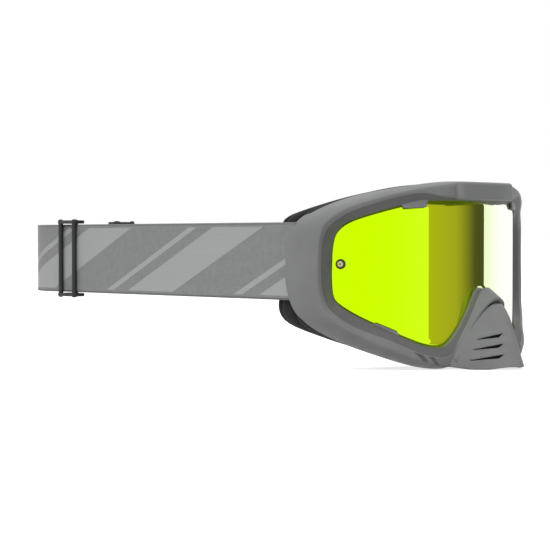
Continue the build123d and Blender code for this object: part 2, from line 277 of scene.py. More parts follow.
# Near-black for the walls of the guard's louvre slots: painted shade inside the slots.
louvre_painted_shade = plastic("louvre_painted_shade", (0.004, 0.004, 0.004), 0.9)
slider_plastic = plastic("slider_plastic", (0.014, 0.014, 0.015), 0.42)
post_nylon = plastic("post_nylon", (0.62, 0.56, 0.34), 0.4)
ring_rubber = plastic("ring_rubber", (0.035, 0.035, 0.02), 0.6)
vent_filter = foam("vent_filter", (0.02, 0.02, 0.021), 900, 0.0005)
firm_foam = foam("firm_foam", (0.010, 0.010, 0.011), 1500, 0.0002)
soft_foam = foam("soft_foam", (0.014, 0.014, 0.015), 1100, 0.0004)
silicone = plastic("silicone", (0.05, 0.05, 0.052), 0.3)


def make_fleece():
    material, tree, shader = new_material("fleece", (0.02, 0.02, 0.022), 1.0)
    shader.inputs["Sheen Weight"].default_value = 0.15
    shader.inputs["Sheen Roughness"].default_value = 0.5
    shade = ramp(tree, noise(tree, 900, 8.0), [(0.3, (0.012, 0.012, 0.013)), (0.7, (0.035, 0.035, 0.038))])
    tree.links.new(shade, shader.inputs["Base Color"])
    bump(tree, shader, noise(tree, 1400, 8.0), 0.9, 0.0004)
    return material


fleece = make_fleece()


def make_mirror():
    """Yellow-green mirror coating that turns pale at grazing angles."""
    material, tree, shader = new_material("mirror_coating", (0.62, 1.0, 0.0), 0.03, metallic=1.0)
    weight = node(tree, "ShaderNodeLayerWeight", Blend=0.5)
    tint = ramp(tree, weight.outputs["Facing"],
                [(0.0, (0.62, 1.0, 0.0)), (0.39, (0.74, 1.0, 0.04)), (0.43, (0.90, 1.0, 0.62)),
                 (0.60, (1, 1, 0.93))])
    tree.links.new(tint, shader.inputs["Base Color"])
    return material


mirror = make_mirror()


def make_webbing(name, base, printed):
    """Knitted elastic: cross ribs, fine courses, darker selvages and a plain diagonal print."""
    material, tree, shader = new_material(name, base, 0.85)
    links = tree.links
    uv = node(tree, "ShaderNodeUVMap", uv_map="UVMap")
    split = node(tree, "ShaderNodeSeparateXYZ")
    links.new(uv.outputs["UV"], split.inputs["Vector"])

    def math_node(operation, a, b=None, clamp=False):
        made = node(tree, "ShaderNodeMath", operation=operation, use_clamp=clamp)
        for socket, value in zip(made.inputs, (a, b)):
            if value is None:
                continue
            if isinstance(value, (int, float)):
                socket.default_value = value
            else:
                links.new(value, socket)
        return made.outputs[0]

    along, across = split.outputs["X"], split.outputs["Y"]
    # the print: slanting bands that repeat along the strap, kept off the selvages
    slant = math_node("ADD", math_node("MULTIPLY", along, 8.0), math_node("MULTIPLY", across, 0.75))
    phase = math_node("FRACT", slant)
    band = math_node("MULTIPLY", math_node("GREATER_THAN", phase, 0.16), math_node("LESS_THAN", phase, 0.52))
    thin = math_node("MULTIPLY", math_node("GREATER_THAN", phase, 0.64), math_node("LESS_THAN", phase, 0.70))
    edge = math_node("ABSOLUTE", math_node("SUBTRACT", across, 0.5))
    inside = math_node("LESS_THAN", edge, 0.445)
    mask = math_node("MULTIPLY", math_node("ADD", band, thin, clamp=True), inside)
    mottled = ramp(tree, noise(tree, 260),
                   [(0.3, tuple(c * 0.93 for c in base)), (0.7, tuple(c * 1.06 for c in base))])
    mix = node(tree, "ShaderNodeMix", data_type="RGBA")
    links.new(mask, mix.inputs["Factor"])
    links.new(mottled, mix.inputs["A"])
    mix.inputs["B"].default_value = (*printed, 1)
    selvage = math_node("GREATER_THAN", edge, 0.472)
    dark = node(tree, "ShaderNodeMix", data_type="RGBA")
    links.new(math_node("MULTIPLY", selvage, 0.45), dark.inputs["Factor"])
    links.new(mix.outputs["Result"], dark.inputs["A"])
    dark.inputs["B"].default_value = (0.06, 0.06, 0.06, 1)
    links.new(dark.outputs["Result"], shader.inputs["Base Color"])
    # knit relief: ribs across the strap and finer courses along it
    ribs = math_node("SINE", math_node("MULTIPLY", along, 2 * math.pi * 900))
    courses = math_node("SINE", math_node("MULTIPLY", across, 2 * math.pi * 46))
    relief = math_node("ADD", math_node("MULTIPLY", ribs, 0.5), math_node("MULTIPLY", courses, 0.7))
    relief = math_node("ADD", relief, math_node("MULTIPLY", mask, 0.6))
    bump(tree, shader, relief, 0.35, 0.00012)
    shader.inputs["Sheen Weight"].default_value = 0.15
    return material


webbing = make_webbing("webbing", (0.235, 0.242, 0.238), (0.37, 0.38, 0.375))
thread = plastic("thread", (0.30, 0.305, 0.30), 0.8)

# ---------------------------------------------------------------- frame shell
# Stations round the right half of the lens, from the top centre down to the nose.
# Each holds the lens edge (x, z), then the inner crest, the outer crest, the outer
# face and the flange's rear edge as (x, y, z), and the depth of the vent gap.
STATIONS = [
    ((0, 22.2), (0, -4.4, 23.2), (0, -4.8, 32.2), (0, -1.5, 33.4), (0, 19.5, 30.5), 6.0),
    ((13, 22.2), (13, -3.9, 23.2), (13, -4.3, 32.2), (13, -1.0, 33.4), (13, 20, 30.5), 6.0),
    ((25, 22.2), (25, -1.8, 23.4), (25, -2.0, 32.0), (25, 1.5, 33.2), (25, 21.5, 30.2), 6.0),
    ((34, 22.0), (34.3, 0.8, 24.2), (34.6, 1.2, 30.6), (35, 5.0, 32.3), (34, 24, 29.4), 6.0),
    ((44, 21.2), (44.3, 5.8, 26.4), (45.2, 6.2, 28.8), (46, 11, 30.6), (45, 28, 27.8), 5.0),
    ((55, 18.6), (55.8, 13.0, 24.6), (57.4, 13.4, 26.0), (59.5, 18.5, 27.8), (57.5, 34.5, 25), 2.5),
    ((66, 14.6), (68.0, 21.8, 20.6), (70.2, 22.2, 22.0), (73, 27, 23.6), (69, 42.5, 21.4), 0.4),
    ((74.4, 10.2), (79.2, 31.4, 15.4), (82.2, 32.0, 16.8), (85, 37.0, 18.0), (80, 51.5, 17), 0.3),
    ((78.4, 4.6), (88.2, 38.4, 7.6), (91.6, 38.4, 9.2), (93.6, 44, 10.2), (89.4, 61, 12.5), 0.3),
    ((79.9, -3.0), (91.8, 40.8, -1.8), (94.6, 40.6, -1.0), (96.4, 46.5, -0.6), (94.6, 66.5, -0.5), 0.3),
    ((80.3, -14), (92.4, 41.2, -14), (95.2, 41.0, -14), (97, 48, -14), (95.1, 67.2, -14), 0.3),
    ((80.3, -25), (92.2, 40.8, -25.8), (95.0, 40.6, -26.2), (96.8, 47, -26.5), (94.9, 67, -26.5), 0.3),
    ((79.5, -33.8), (89.8, 38.8, -37.4), (92.4, 38.6, -39.4), (94.4, 43.5, -40.4), (92, 63.5, -41), 0.3),
    ((76.0, -39.6), (83.4, 33.0, -45.4), (85.8, 32.8, -48.4), (87.6, 37.5, -50), (84.2, 57.0, -49.6), 0.3),
    ((69, -45.6), (73.8, 25.6, -51.6), (75.8, 25.2, -54.8), (77.2, 30.5, -57.2), (74, 48.5, -55), 0.4),
    ((59.5, -51.6), (62, 15.6, -57), (63.6, 15.0, -61.8), (64.6, 20.5, -64.2), (62.5, 40.5, -60), 1.5),
    ((49, -57.2), (50.6, 8.6, -62.8), (51.6, 7.8, -67.4), (52.2, 13.0, -69.6), (50.5, 33.5, -64), 4.0),
    ((40, -60.8), (40.6, 3.4, -66.0), (41, 2.6, -71.2), (41.2, 8.0, -73.0), (40, 28.8, -66), 4.0),
    ((32.5, -61.9), (31.8, 0.6, -66.8), (31.4, 0.0, -72.8), (31.2, 6.0, -74.2), (30.5, 25.5, -66), 4.0),
    ((26.2, -60.4), (25.2, -0.2, -64.0), (25.9, -1.4, -70.2), (25.4, 4.5, -72.8), (24.6, 24.0, -64.4), 2.0),
    ((20.6, -54.6), (20.6, -1.0, -56.4), (21.6, -3.4, -60.8), (20.4, 2.5, -62.6), (19.5, 23.0, -57), 0.5),
    ((15.4, -47.4), (15.4, -1.8, -48.4), (16.6, -5.8, -51.8), (15.2, 1.0, -53.8), (14.6, 22.2, -49.5), 0.3),
    ((10.6, -39.8), (10.4, -2.6, -40.0), (11.8, -8.6, -44.0), (10.4, 0.0, -46.4), (10, 21.6, -43.4), 0.3),
    ((5.4, -31.0), (5.4, -3.9, -30.0), (6.6, -12.6, -36.8), (5.8, -1.0, -41.0), (5.4, 21.2, -39.4), 0.3),
    ((0, -28.8), (0, -4.6, -27.6), (0, -14.6, -34.4), (0, -2.0, -39.6), (0, 21.0, -38), 0.3),
]
STATION_STEPS = 3
FACE_OPENING_INSET = 8.0


SEAT_RADIUS = 89.6           # rear face of the seat behind the lens


def shell_back_y(x):
    """Depth of the front shell's rear face."""
    return LENS_RADIUS - math.sqrt(max(SEAT_RADIUS**2 - x * x, 0.0))


def outward(station):
    """Unit direction in the front view from the lens edge to the outer face."""
    (ax, az), _, _, (ex, _, ez) = station[0], station[1], station[2], station[3]
    length = math.hypot(ex - ax, ez - az)
    return (ex - ax) / length, (ez - az) / length


def flat(station):
    edge, inner, outer, face, rear, gap = station
    return [*edge, *inner, *outer, *face, *rear, gap]


def unflat(values):
    return [tuple(values[0:2]), tuple(values[2:5]), tuple(values[5:8]), tuple(values[8:11]),
            tuple(values[11:14]), values[14]]


def dense_stations(steps=STATION_STEPS):
    rows = [flat(s) for s in STATIONS]
    mirrored_start = [-v if i in (0, 2, 5, 8, 11) else v for i, v in enumerate(rows[1])]
    mirrored_end = [-v if i in (0, 2, 5, 8, 11) else v for i, v in enumerate(rows[-2])]
    padded_rows = [mirrored_start, *rows, mirrored_end]
    count = (len(rows) - 1) * steps
    return [unflat(catmull(padded_rows, 1 + i / steps)) for i in range(count + 1)]


def mirror_loop(half):
    """Full loop from a half that starts and ends on the symmetry plane."""
    other = [[(-x, y, z) for x, y, z in profile] for profile in half[-2:0:-1]]
    return half + other


def frame_profile(station):
    (ax, az), inner, outer, face, rear, gap = station
    ux, uz = outward(station)
    edge_y = lens_y(ax)
    gap = max(gap, 0.15)
    shell_y = min(max(shell_back_y(face[0]), face[1] + 1.5), rear[1] - 4.0)
    flange_front = max(rear[1] - 3.0, shell_y + 1.0)
    gap_x, gap_z = face[0] - ux * gap, face[2] - uz * gap
    rear_gap_x, rear_gap_z = rear[0] - ux * gap * 0.8, rear[2] - uz * gap * 0.8
    inset_x, inset_z = ax - ux * 1.5, az - uz * 1.5
    opening_x, opening_z = ax - ux * FACE_OPENING_INSET, az - uz * FACE_OPENING_INSET
    return [
        (ax, edge_y - 0.35, az),
        (ax + ux * 0.5, edge_y - 1.5, az + uz * 0.5),
        (ax + ux * 1.6, edge_y - 1.9, az + uz * 1.6),
        inner,
        outer,
        face,
        (face[0], shell_y, face[2]),
        (gap_x, shell_y + 0.3, gap_z),
        (rear_gap_x, flange_front - 0.2, rear_gap_z),
        (rear[0], flange_front, rear[2]),
        (rear[0] - ux * 0.6, rear[1], rear[2] - uz * 0.6),
        (opening_x, max(face_y(opening_x) - 0.3, edge_y + 4.0), opening_z),
        (opening_x, max(face_y(opening_x) - 2.8, edge_y + 3.0), opening_z),
        (inset_x, max(edge_y + 2.6, lens_y(inset_x) + 2.4), inset_z),
        (ax + ux * 0.4, edge_y + 1.7, az + uz * 0.4),
    ]


# Faces along these rails take the darker bevel material: painted shade on the inward bevel.
BEVEL_SHADE_RAILS = (0, 1, 2)       # the inward bevel between the lens and the crest


def build_frame():
    loops = mirror_loop([frame_profile(s) for s in dense_stations()])
    around = len(loops[0])
    points = [at(*p) for loop in loops for p in loop]
    shell = mesh_object("frame_shell", points, torus_faces(len(loops), around), frame_plastic)
    # The bevel faces get the darker material as painted shade.
    shell.data.materials.append(bevel_painted_shade)
    for polygon in shell.data.polygons:
        if polygon.index % around in BEVEL_SHADE_RAILS:
            polygon.material_index = 1
    crease(shell, around, {0, 1, 3, 4, 6, 7, 8, 9, 10, 11, 12}, 0.85)
    subdivide(shell, 2)
    return apply_modifiers(shell)


def curved_tab(name, x_low, x_high, z_root, z_tip, taper):
    """Lug of the frame that laps over the lens edge."""
    columns = 8
    outline = []
    for i in range(columns + 1):
        x = x_low + (x_high - x_low) * i / columns
        outline.append((x, z_root(x)))
    for i in range(columns, -1, -1):
        share = i / columns
        x = x_low + taper + (x_high - x_low - 2 * taper) * share
        outline.append((x, z_tip(x)))
    front = [at(x, lens_y(x) - 1.9, z) for x, z in outline]
    back = [at(x, lens_y(x) - 0.15, z) for x, z in outline]
    count = len(outline)
    faces = [tuple(range(count)), tuple(reversed(range(count, 2 * count)))]
    faces += [(i, (i + 1) % count, count + (i + 1) % count, count + i) for i in range(count)]
    tab = mesh_object(name, front + back, faces, frame_plastic, smooth=False)
    return bevelled(tab, 0.0004)


def build_tabs():
    tabs = []
    for side, hand in ((1, "left"), (-1, "right")):
        low, high = sorted((side * 39.5, side * 53.0))
        tabs.append(curved_tab(f"top_tab_{hand}", low, high, lambda x: 22.6 - max(abs(x) - 44, 0) * 0.3,
                               lambda x: 18.2 - (abs(x) - 39) * 0.05, 1.0))
        low, high = sorted((side * 54.5, side * 65.5))
        tabs.append(curved_tab(f"bottom_tab_{hand}", low, high, lambda x: -55.5 + (abs(x) - 54) * 0.62,
                               lambda x: -52.0 + (abs(x) - 56) * 0.52, 0.8))
    return tabs


def frame_front_point(x, share):
    """Point on the lower front face of the frame, share 0 at the inner crest."""
    rows = dense_stations(6)
    lower = [s for s in rows if s[0][1] < -50 and s[0][0] > 27]
    best = min(lower, key=lambda s: abs(s[1][0] * (1 - share) + s[2][0] * share - abs(x)))
    inner, outer = Vector(best[1]), Vector(best[2])
    point = inner.lerp(outer, share)
    return math.copysign(point.x, x), point.y, point.z


def build_rib_shade_patches():
    """Two slanted dark patches on each chin lobe, painted shade standing in for the rib recesses."""
    recesses = []
    for side, hand in ((1, "left"), (-1, "right")):
        for number, x in enumerate((46.5, 38.8)):
            corners = []
            for dx, share in ((3.4, 0.12), (-0.2, 0.12), (-3.6, 0.86), (0.0, 0.86)):
                px, py, pz = frame_front_point(side * (x + dx), share)
                corners.append(at(px, py - 0.12, pz))
            depth = Vector((0, 0.9 * MM, 0))
            recesses.append(prism(f"rib_{hand}_{number}", corners, depth, recess_painted_shade, 0.0002))
    return recesses


def build_brow_plate():
    """Raised plate at the middle of the brow, left bare, with a lip over the lens."""
    columns = 20
    rows = [(22.4, -5.0), (22.6, -7.2), (23.6, -8.1), (24.6, -8.0), (28, -7.7), (32.0, -7.2), (32.9, -6.4),
            (33.2, -4.6)]
    points = []
    for i in range(columns + 1):
        x = -25.5 + 51.0 * i / columns
        bow = lens_y(x) * 0.62
        end = max(abs(x) - 23.5, 0) / 2.0
        profile = [(z + (0.5 * end if z < 27 else -0.5 * end), y + bow + 1.4 * end * end) for z, y in rows]
        profile += [(32.4, -1.5 + bow), (23.2, -1.5 + bow)]
        points += [at(x, y, z) for z, y in profile]
    plate = mesh_object("brow_badge", points, tube_faces(columns + 1, len(rows) + 2), frame_plastic)
    crease(plate, len(rows) + 2, {2, 5, 8, 9}, 0.6)
    return apply_modifiers(subdivide(plate, 2))


frame_shell = build_frame()
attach(frame_shell, "frame")
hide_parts("frame")
for piece in build_tabs() + build_rib_shade_patches():
    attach(piece, "frame")
brow = build_brow_plate()
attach(brow, "frame")
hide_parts("brow_plate")


# ---------------------------------------------------------------- lens
def edge_height(x, upper):
    """Height of the lens outline's upper or lower edge at x, from the stations."""
    rows = dense_stations(4)
    split = max(range(len(rows)), key=lambda i: rows[i][0][0])
    chosen = rows[:split + 1] if upper else rows[split:]
    chosen = sorted((s[0] for s in chosen), key=lambda p: p[0])
    for (x0, z0), (x1, z1) in zip(chosen, chosen[1:]):
        if x0 <= x <= x1 and x1 > x0:
            return z0 + (z1 - z0) * (x - x0) / (x1 - x0)
    return chosen[-1][1]


def build_lens():
    """Cylindrical shell with its outline tucked under the frame's lip."""
    columns, rows = 160, 14
    tuck = 1.2
    limit = math.asin(LENS_HALF_WIDTH / LENS_RADIUS)
    points = []
    for surface in (0.0, LENS_THICKNESS):
        radius = LENS_RADIUS - surface
        for i in range(columns + 1):
            angle = -limit + 2 * limit * i / columns
            x = LENS_RADIUS * math.sin(angle)
            look = min(abs(x), 80.9)
            top = edge_height(look, True) + tuck
            low = edge_height(look, False) - tuck
            for j in range(rows + 1):
                z = low + (top - low) * j / rows
                points.append(at(radius * math.sin(angle), LENS_RADIUS - radius * math.cos(angle), z))
    stride, sheet = rows + 1, (columns + 1) * (rows + 1)
    faces = []
    for i in range(columns):
        for j in range(rows):
            a = i * stride + j
            faces.append((a, a + stride, a + stride + 1, a + 1))
            faces.append((a + sheet, a + sheet + 1, a + sheet + stride + 1, a + sheet + stride))
        for j in (0, rows):
            a = i * stride + j
            faces.append((a, a + stride, a + stride + sheet, a + sheet))
    for i in (0, columns):
        for j in range(rows):
            a = i * stride + j
            faces.append((a, a + 1, a + 1 + sheet, a + sheet))
    return mesh_object("mirror_lens", points, faces, mirror)


lens = build_lens()
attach(lens, "frame")
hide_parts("lens")

POST_ANGLE = math.radians(55.0)
POST_HEIGHT = -14.0
for side, hand in ((1, "left"), (-1, "right")):
    out = Vector((side * math.sin(POST_ANGLE), -math.cos(POST_ANGLE), 0))
    base = at(out.x * LENS_RADIUS, LENS_RADIUS + out.y * LENS_RADIUS, POST_HEIGHT)
    post = lathe(f"post_{hand}", base, out,
                 [(0.2, -2.0), (1.9, -2.0), (1.9, -1.3), (1.2, -1.2), (1.2, 0.1), (1.5, 0.15), (1.5, 0.95),
                  (1.7, 1.05), (1.7, 2.7), (1.4, 3.1),
                  (1.0, 3.2), (0.5, 3.15), (0.45, 2.6), (0.1, 2.55)], post_nylon)
    ring = lathe(f"ring_{hand}", base, out,
                 [(1.55, 0.1), (2.8, 0.1), (2.9, 0.3), (2.8, 0.62), (2.5, 0.8), (1.9, 0.82), (1.6, 0.6)],
                 ring_rubber)
    dot = lathe(f"dot_{hand}", base, out, [(0.1, 2.4), (0.44, 2.45), (0.44, 2.8), (0.1, 2.85)],
                ring_rubber, 16)
    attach(post, "frame")
    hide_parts(f"tear_off_post_{hand}")
    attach(ring, "frame")
    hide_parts(f"post_ring_{hand}")
    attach(dot, "frame")

# ---------------------------------------------------------------- nose guard
# Rows down the guard: height, ridge depth, seam half width and seam depth.
GUARD_ROWS = [
    (-36.9, -13.2, 1.6, -12.4),
    (-37.6, -15.0, 5.0, -12.0),
    (-40.4, -17.6, 8.6, -9.8),
    (-45.0, -20.6, 12.6, -7.2),
    (-50.5, -22.6, 16.4, -5.0),
    (-56.5, -24.6, 20.4, -3.2),
    (-63.0, -26.8, 24.4, -1.6),
    (-69.0, -28.8, 27.8, -0.6),
    (-73.4, -30.2, 29.6, 0.6),
]
GUARD_THICKNESS = 1.8
LOUVRE_DEPTH = 1.4
LOUVRES = ((-55.4, 0.50), (-61.2, 0.50), (-67.2, 0.50))


def guard_point(row, t, inset=0.0):
    """Point on the guard: row counted in list steps, t from -1 to 1 across it."""
    height, ridge, half, root = catmull([list(r) for r in GUARD_ROWS], row)
    round_off = 0.16 + 0.5 * max(0.0, 1 - row / 2.5)
    share = (math.sqrt(t * t + round_off**2) - round_off) / (math.sqrt(1 + round_off**2) - round_off)
    x = half * t
    y = ridge + (root - ridge) * share
    hood = 0.0
    for level, middle in LOUVRES:
        slope_level = level + (0.5 - abs(t)) * 6.0
        along = (abs(t) - middle) / 0.26
        above = (height - slope_level - 1.2) / 1.5
        hood += 0.9 * math.exp(-along**2 - above**2)
    wave = 0.0
    if row > len(GUARD_ROWS) - 2:
        wave = 0.9 * math.sin(abs(t) * 7.0 + 0.6) * (row - len(GUARD_ROWS) + 2)
    shrink = 1 - inset / max(half, 4.0)
    return at(x * shrink + math.copysign(hood * 0.6, t), y + inset * 1.25 - hood * 0.8,
              height + wave - inset * 0.25)


def build_guard():
    across, down = 44, 40
    top_row = len(GUARD_ROWS) - 1
    points = []
    for inset in (0.0, GUARD_THICKNESS):
        for j in range(down + 1):
            for i in range(across + 1):
                points.append(guard_point(top_row * j / down, -1 + 2 * i / across, inset))
    stride, sheet = across + 1, (across + 1) * (down + 1)
    faces = []
    for j in range(down):
        for i in range(across):
            a = j * stride + i
            faces.append((a, a + 1, a + stride + 1, a + stride))
            faces.append((a + sheet, a + sheet + stride, a + sheet + stride + 1, a + sheet + 1))
        for i in (0, across):
            a = j * stride + i
            faces.append((a, a + stride, a + stride + sheet, a + sheet))
    for j in (0, down):
        for i in range(across):
            a = j * stride + i
            faces.append((a, a + 1, a + 1 + sheet, a + sheet))
    guard = mesh_object("guard_shell", points, faces, guard_plastic)
    for side in (1, -1):
        for level, middle in LOUVRES:
            cut_louvre(guard, side, level)
    return guard


def cut_louvre(guard, side, level):
    """Cuts one wedge-shaped slot through a flank of the guard."""
    corners = [(0.28, 0.35), (0.36, -1.5), (0.74, -0.55), (0.74, -0.25)]
    outer, inner = [], []
    for t, rise in corners:
        row = min(range(0, 801), key=lambda r: abs(catmull([list(g) for g in GUARD_ROWS], r / 100)[0]
                                                   - (level + (0.5 - t) * 6.0 + rise))) / 100
        outer.append(guard_point(row, side * t, -3.0))
        inner.append(guard_point(row, side * t, LOUVRE_DEPTH))
    count = len(corners)
    faces = [tuple(range(count)), tuple(reversed(range(count, 2 * count)))]
    faces += [(i, (i + 1) % count, count + (i + 1) % count, count + i) for i in range(count)]
    # The cutter's near-black material passes to the slot walls: painted shade inside the louvres.
    cutter = mesh_object("cutter", outer + inner, faces, louvre_painted_shade, smooth=False)
    modifier = guard.modifiers.new("slot", "BOOLEAN")
    modifier.operation = "DIFFERENCE"
    modifier.solver = "EXACT"
    modifier.material_mode = "TRANSFER"
    modifier.object = cutter
    apply_modifiers(guard)
    bpy.data.objects.remove(cutter)


guard = build_guard()
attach(guard, "nose_guard")
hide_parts("nose_guard")
PEG_PLACES = ((0, -38.4), (24.6, -68.5), (-24.6, -68.5))
for number, (x, z) in enumerate(PEG_PLACES):
    peg = lathe(f"guard_peg_{number}", at(x, -2.5 if x else -9.0, z), Vector((0, 1, 0)),
                [(0.3, -1.0), (2.2, -1.0), (2.2, 1.2), (1.45, 1.6), (1.45, 5.6), (1.1, 6.4), (0.2, 6.6)],
                guard_plastic, 20)
    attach(peg, "nose_guard")


# ---------------------------------------------------------------- face foam
def foam_layer(name, front, rear, outer_extra, inner_extra, material, bulge):
    """Closed ring of foam between two depths behind the face flange."""
    rows = dense_stations(2)
    half = []
    for station in rows:
        (ax, az), _, _, face, flange, _ = station
        ux, uz = outward(station)
        reach = math.hypot(flange[0] - ax, flange[2] - az)
        band = min(reach + outer_extra, 12.0 + outer_extra)
        at_strap = max(0.0, 1 - (abs(az + 13) / 27) ** 4) if ax > 60 else 0.0
        band = band * (1 - at_strap) + min(band, 84.6 - ax) * at_strap
        inner = -FACE_OPENING_INSET - inner_extra
        profile = []
        for share, depth in ((1.0, front), (1.0, front * 0.7 + rear * 0.3), (0.985, rear - 0.4), (0.9, rear),
                             (0.1, rear), (0.02, rear - 0.6), (0.0, front * 0.7 + rear * 0.3), (0.0, front)):
            span = inner + (band - inner) * share
            swell = bulge * math.sin(math.pi * min(max((depth - front) / (rear - front), 0), 1))
            span += swell if share > 0.5 else -swell
            x, z = ax + ux * span, az + uz * span
            profile.append((x, face_y(x, depth), z))
        half.append(profile)
    loops = mirror_loop(half)
    around = len(loops[0])
    points = [at(*p) for loop in loops for p in loop]
    ring = mesh_object(name, points, torus_faces(len(loops), around), material)
    crease(ring, around, {0, 7}, 0.6)
    apply_modifiers(subdivide(ring, 1))
    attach(ring, "frame")
    return ring


gasket = foam_layer("foam_firm", 0.15, 6.0, 1.6, 0.0, firm_foam, 0.3)
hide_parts("face_foam_firm")
cushion = foam_layer("foam_soft", 6.0, 13.8, 0.2, 0.8, soft_foam, 0.9)
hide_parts("face_foam_soft")
lining = foam_layer("foam_fleece", 13.8, 15.5, -0.8, 0.4, fleece, 0.2)
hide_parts("face_fleece")


def paint(node_name, material):
    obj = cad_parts[node_name]
    obj.data.materials.clear()
    obj.data.materials.append(material)


for name in ("top_vent_foam", "bottom_vent_foam_left", "bottom_vent_foam_right"):
    paint(name, vent_filter)


def make_steel():
    material, tree, shader = new_material("pin_steel", (0.5, 0.5, 0.5), 0.3, metallic=1.0)
    bump(tree, shader, noise(tree, 900), 0.2, 0.00003)
    return material


pin_steel = make_steel()

EAR_PIN_X, EAR_PIN_Y = 88.9, 57.5
EAR_PIN_LOW, EAR_PIN_LENGTH = -38.5, 48.0
for side, hand in ((1, "left"), (-1, "right")):
    foot = at(side * EAR_PIN_X, EAR_PIN_Y, EAR_PIN_LOW)
    pin = lathe(f"pin_{hand}", foot, Vector((0, 0, 1)),
                [(0.2, 0), (1.2, 0), (1.5, 0.3), (1.5, EAR_PIN_LENGTH - 0.3), (1.2, EAR_PIN_LENGTH),
                 (0.2, EAR_PIN_LENGTH)], pin_steel, 24)
    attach(pin, "frame")
    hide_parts(f"ear_pin_{hand}")

# ---------------------------------------------------------------- strap
STRAP_MIDDLE = -12.5
STRAP_WIDTH = 44.6
STRAP_THICKNESS = 1.4
LAYER_PITCH = 1.8
LEAN = math.radians(3.4)
SIDE_X, SIDE_Y = 91.0, 63.0
BACK_Y = 342.0
CORNER = 40.0
FOLD_CENTRE = (SIDE_X + 5.5 * math.tan(LEAN) - 2.3, SIDE_Y - 5.5)
LEFT_SLIDER_X = 18.0
RIGHT_SLIDER_Y = 280.0
BAR_RADIUS = 1.6
BAR_OFFSET = 4.1
FOLD_RADIUS = 2.4
OUTER_BAR_OFFSET = 2.6
BAR_PITCH = 7.5
SLIDER_ROOM = 11.0           # straight run of the folded end beside the middle bar
RAIL_LENGTH = 18.6
RAIL_HEIGHT = 2.2
RAIL_CORNER = 2.6
RAIL_BEVEL = 0.6
RAIL_CLEARANCE = 0.6
STITCH_ROWS = (-5.0, -8.0)   # seams through the fold, beside the middle bar
STITCH_COUNT = 15
STITCH_PITCH = 2.8
LEFT_END_GAP = 0.3           # inner layer's end past the right rear corner
RIGHT_END_RUN = 25.0         # outer layer's end before the left slider
ROOT_Y = SIDE_Y + 12         # end of the webbing's fold round the ear pin


def side_point(side, y, inward=0.0):
    x = SIDE_X - (y - SIDE_Y) * math.tan(LEAN)
    return Vector((side * (x - inward / math.cos(LEAN)), y))


def rounded(points, radii, step=2.0):
    """Plan path through the points with its corners rounded, as closely spaced points."""
    path = [points[0]]
    for i in range(1, len(points) - 1):
        a, b, c = points[i - 1], points[i], points[i + 1]
        u, v = (a - b).normalized(), (c - b).normalized()
        turn = math.pi - u.angle(v)
        reach = radii[i - 1] * math.tan(turn / 2)
        start = b + u * reach
        centre = b + (u + v).normalized() * (radii[i - 1] / math.cos(turn / 2))
        count = max(4, int(radii[i - 1] * turn / step))
        first = start - centre
        sign = 1 if u.x * v.y - u.y * v.x < 0 else -1
        for k in range(count + 1):
            angle = sign * turn * k / count
            path.append(centre + Vector((first.x * math.cos(angle) - first.y * math.sin(angle),
                                         first.x * math.sin(angle) + first.y * math.cos(angle))))
    path.append(points[-1])
    dense = [path[0]]
    for a, b in zip(path, path[1:]):
        count = max(1, int((b - a).length / 6.0))
        dense += [a.lerp(b, k / count) for k in range(1, count + 1)]
    return dense


# Half of the webbing's closed section, as shares of its width and thickness.
STRAP_HALF = [(-0.5, 0.0), (-0.493, 0.42), (-0.47, 0.5), (-0.455, 0.40), (-0.2, 0.40), (0.2, 0.40),
              (0.455, 0.40), (0.47, 0.5), (0.493, 0.42)]
STRAP_SECTION = STRAP_HALF + [(-across, -thick) for across, thick in STRAP_HALF]


def ribbon(name, path, start_length=0.0):
    """Webbing along a plan path, with thicker selvages and UVs measured along it."""
    points, lengths = [], []
    travelled = start_length
    for i, p in enumerate(path):
        before, after = path[max(i - 1, 0)], path[min(i + 1, len(path) - 1)]
        along = (after - before).normalized()
        normal = Vector((along.y, -along.x))
        if i:
            travelled += (p - path[i - 1]).length
        lengths.append(travelled)
        for across, thick in STRAP_SECTION:
            q = p + normal * (thick * STRAP_THICKNESS)
            points.append(at(q.x, q.y, STRAP_MIDDLE + across * STRAP_WIDTH))
    around = len(STRAP_SECTION)
    strap = mesh_object(name, points, tube_faces(len(path), around), webbing)
    layer = strap.data.uv_layers.new(name="UVMap")
    for polygon in strap.data.polygons:
        for loop in polygon.loop_indices:
            index = strap.data.loops[loop].vertex_index
            layer.data[loop].uv = (lengths[index // around] * MM, STRAP_SECTION[index % around][0] + 0.5)
    return strap


def ear_fold(side):
    """Webbing folded round the ear pin, its short end lying inside the run."""
    root = side_point(side, ROOT_Y, 4.2)
    centre = Vector((side * FOLD_CENTRE[0], FOLD_CENTRE[1]))
    arc = [centre + Vector((-side * 2.3 * math.cos(a), -2.3 * math.sin(a)))
           for a in (math.pi * k / 12 for k in range(13))]
    return [root] + arc


inner_y = BACK_Y - LAYER_PITCH
left_end_y = inner_y - (CORNER - LAYER_PITCH) * math.tan((math.pi / 2 - LEAN) / 2) - LEFT_END_GAP
right_end_x = LEFT_SLIDER_X - RIGHT_END_RUN


right_path = ear_fold(-1) + rounded([side_point(-1, SIDE_Y + 2), side_point(-1, BACK_Y),
                                     Vector((right_end_x, BACK_Y))], [CORNER])
left_path = ear_fold(1) + rounded([side_point(1, SIDE_Y + 2), side_point(1, inner_y),
                                   side_point(-1, inner_y, LAYER_PITCH),
                                   side_point(-1, left_end_y, LAYER_PITCH)],
                                  [CORNER - LAYER_PITCH, CORNER - LAYER_PITCH])


def path_length(path):
    return sum((b - a).length for a, b in zip(path, path[1:]))


